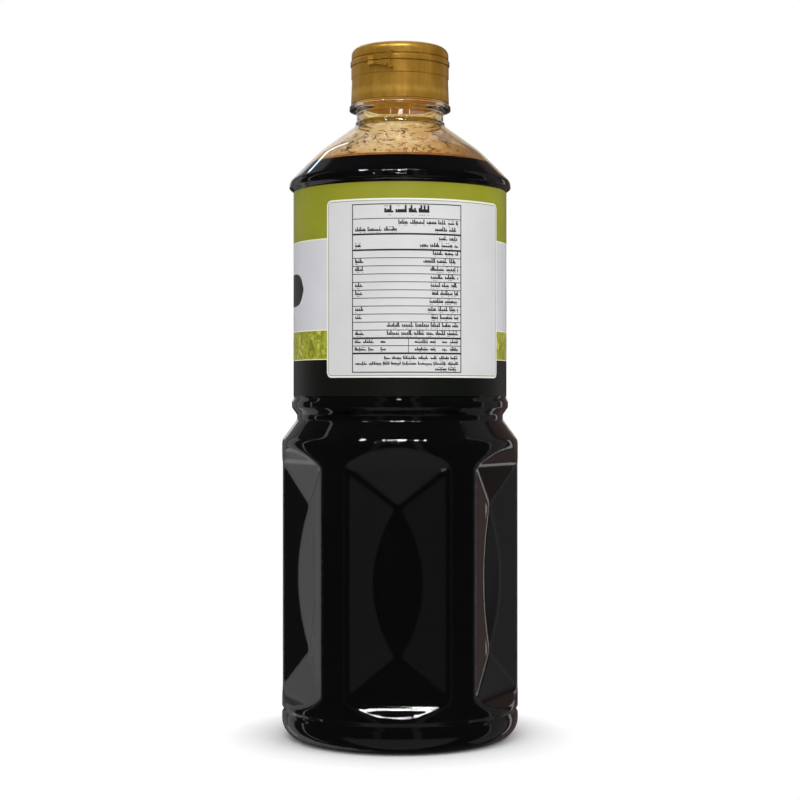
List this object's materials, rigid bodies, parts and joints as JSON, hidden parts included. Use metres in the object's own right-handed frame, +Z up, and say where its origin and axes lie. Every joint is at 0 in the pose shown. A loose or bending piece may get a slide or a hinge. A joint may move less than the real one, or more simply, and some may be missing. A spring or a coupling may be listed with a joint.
{
  "type": "ramen sauce bottle",
  "caption": "Round clear plastic bottle of dark sauce with recessed grip panels, a waist groove, a wrap-around label with a sticker, and a hinged flip-top cap.",
  "frame": {"origin": "centre of the foot ring, on the surface that the bottle stands on", "axes": "+Z up along the bottle's axis; the side with the sticker faces -Y; +X to the right of it"},
  "size_m": [0.0868, 0.0868, 0.2531],
  "materials": {
    "clear_plastic": "clear, glossy",
    "sauce": "dark opaque liquid",
    "label_film": "printed film, glossy",
    "sticker": "printed, satin",
    "gold_plastic": "satin metallic gold"
  },
  "bodies": {
    "container": {"bottle": "clear_plastic", "sauce": "sauce", "label": "label_film", "sticker": "sticker", "cap_base": "gold_plastic"},
    "lid": {"cap_lid": "gold_plastic"}
  },
  "joints": [
    {"name": "lid_hinge", "type": "hinge", "parent": "container", "child": "lid", "pos_m": [-0.00818, -0.0177, 0.246], "axis": [0.9078, -0.4195, 0], "range_deg": [0, 130]}
  ]
}
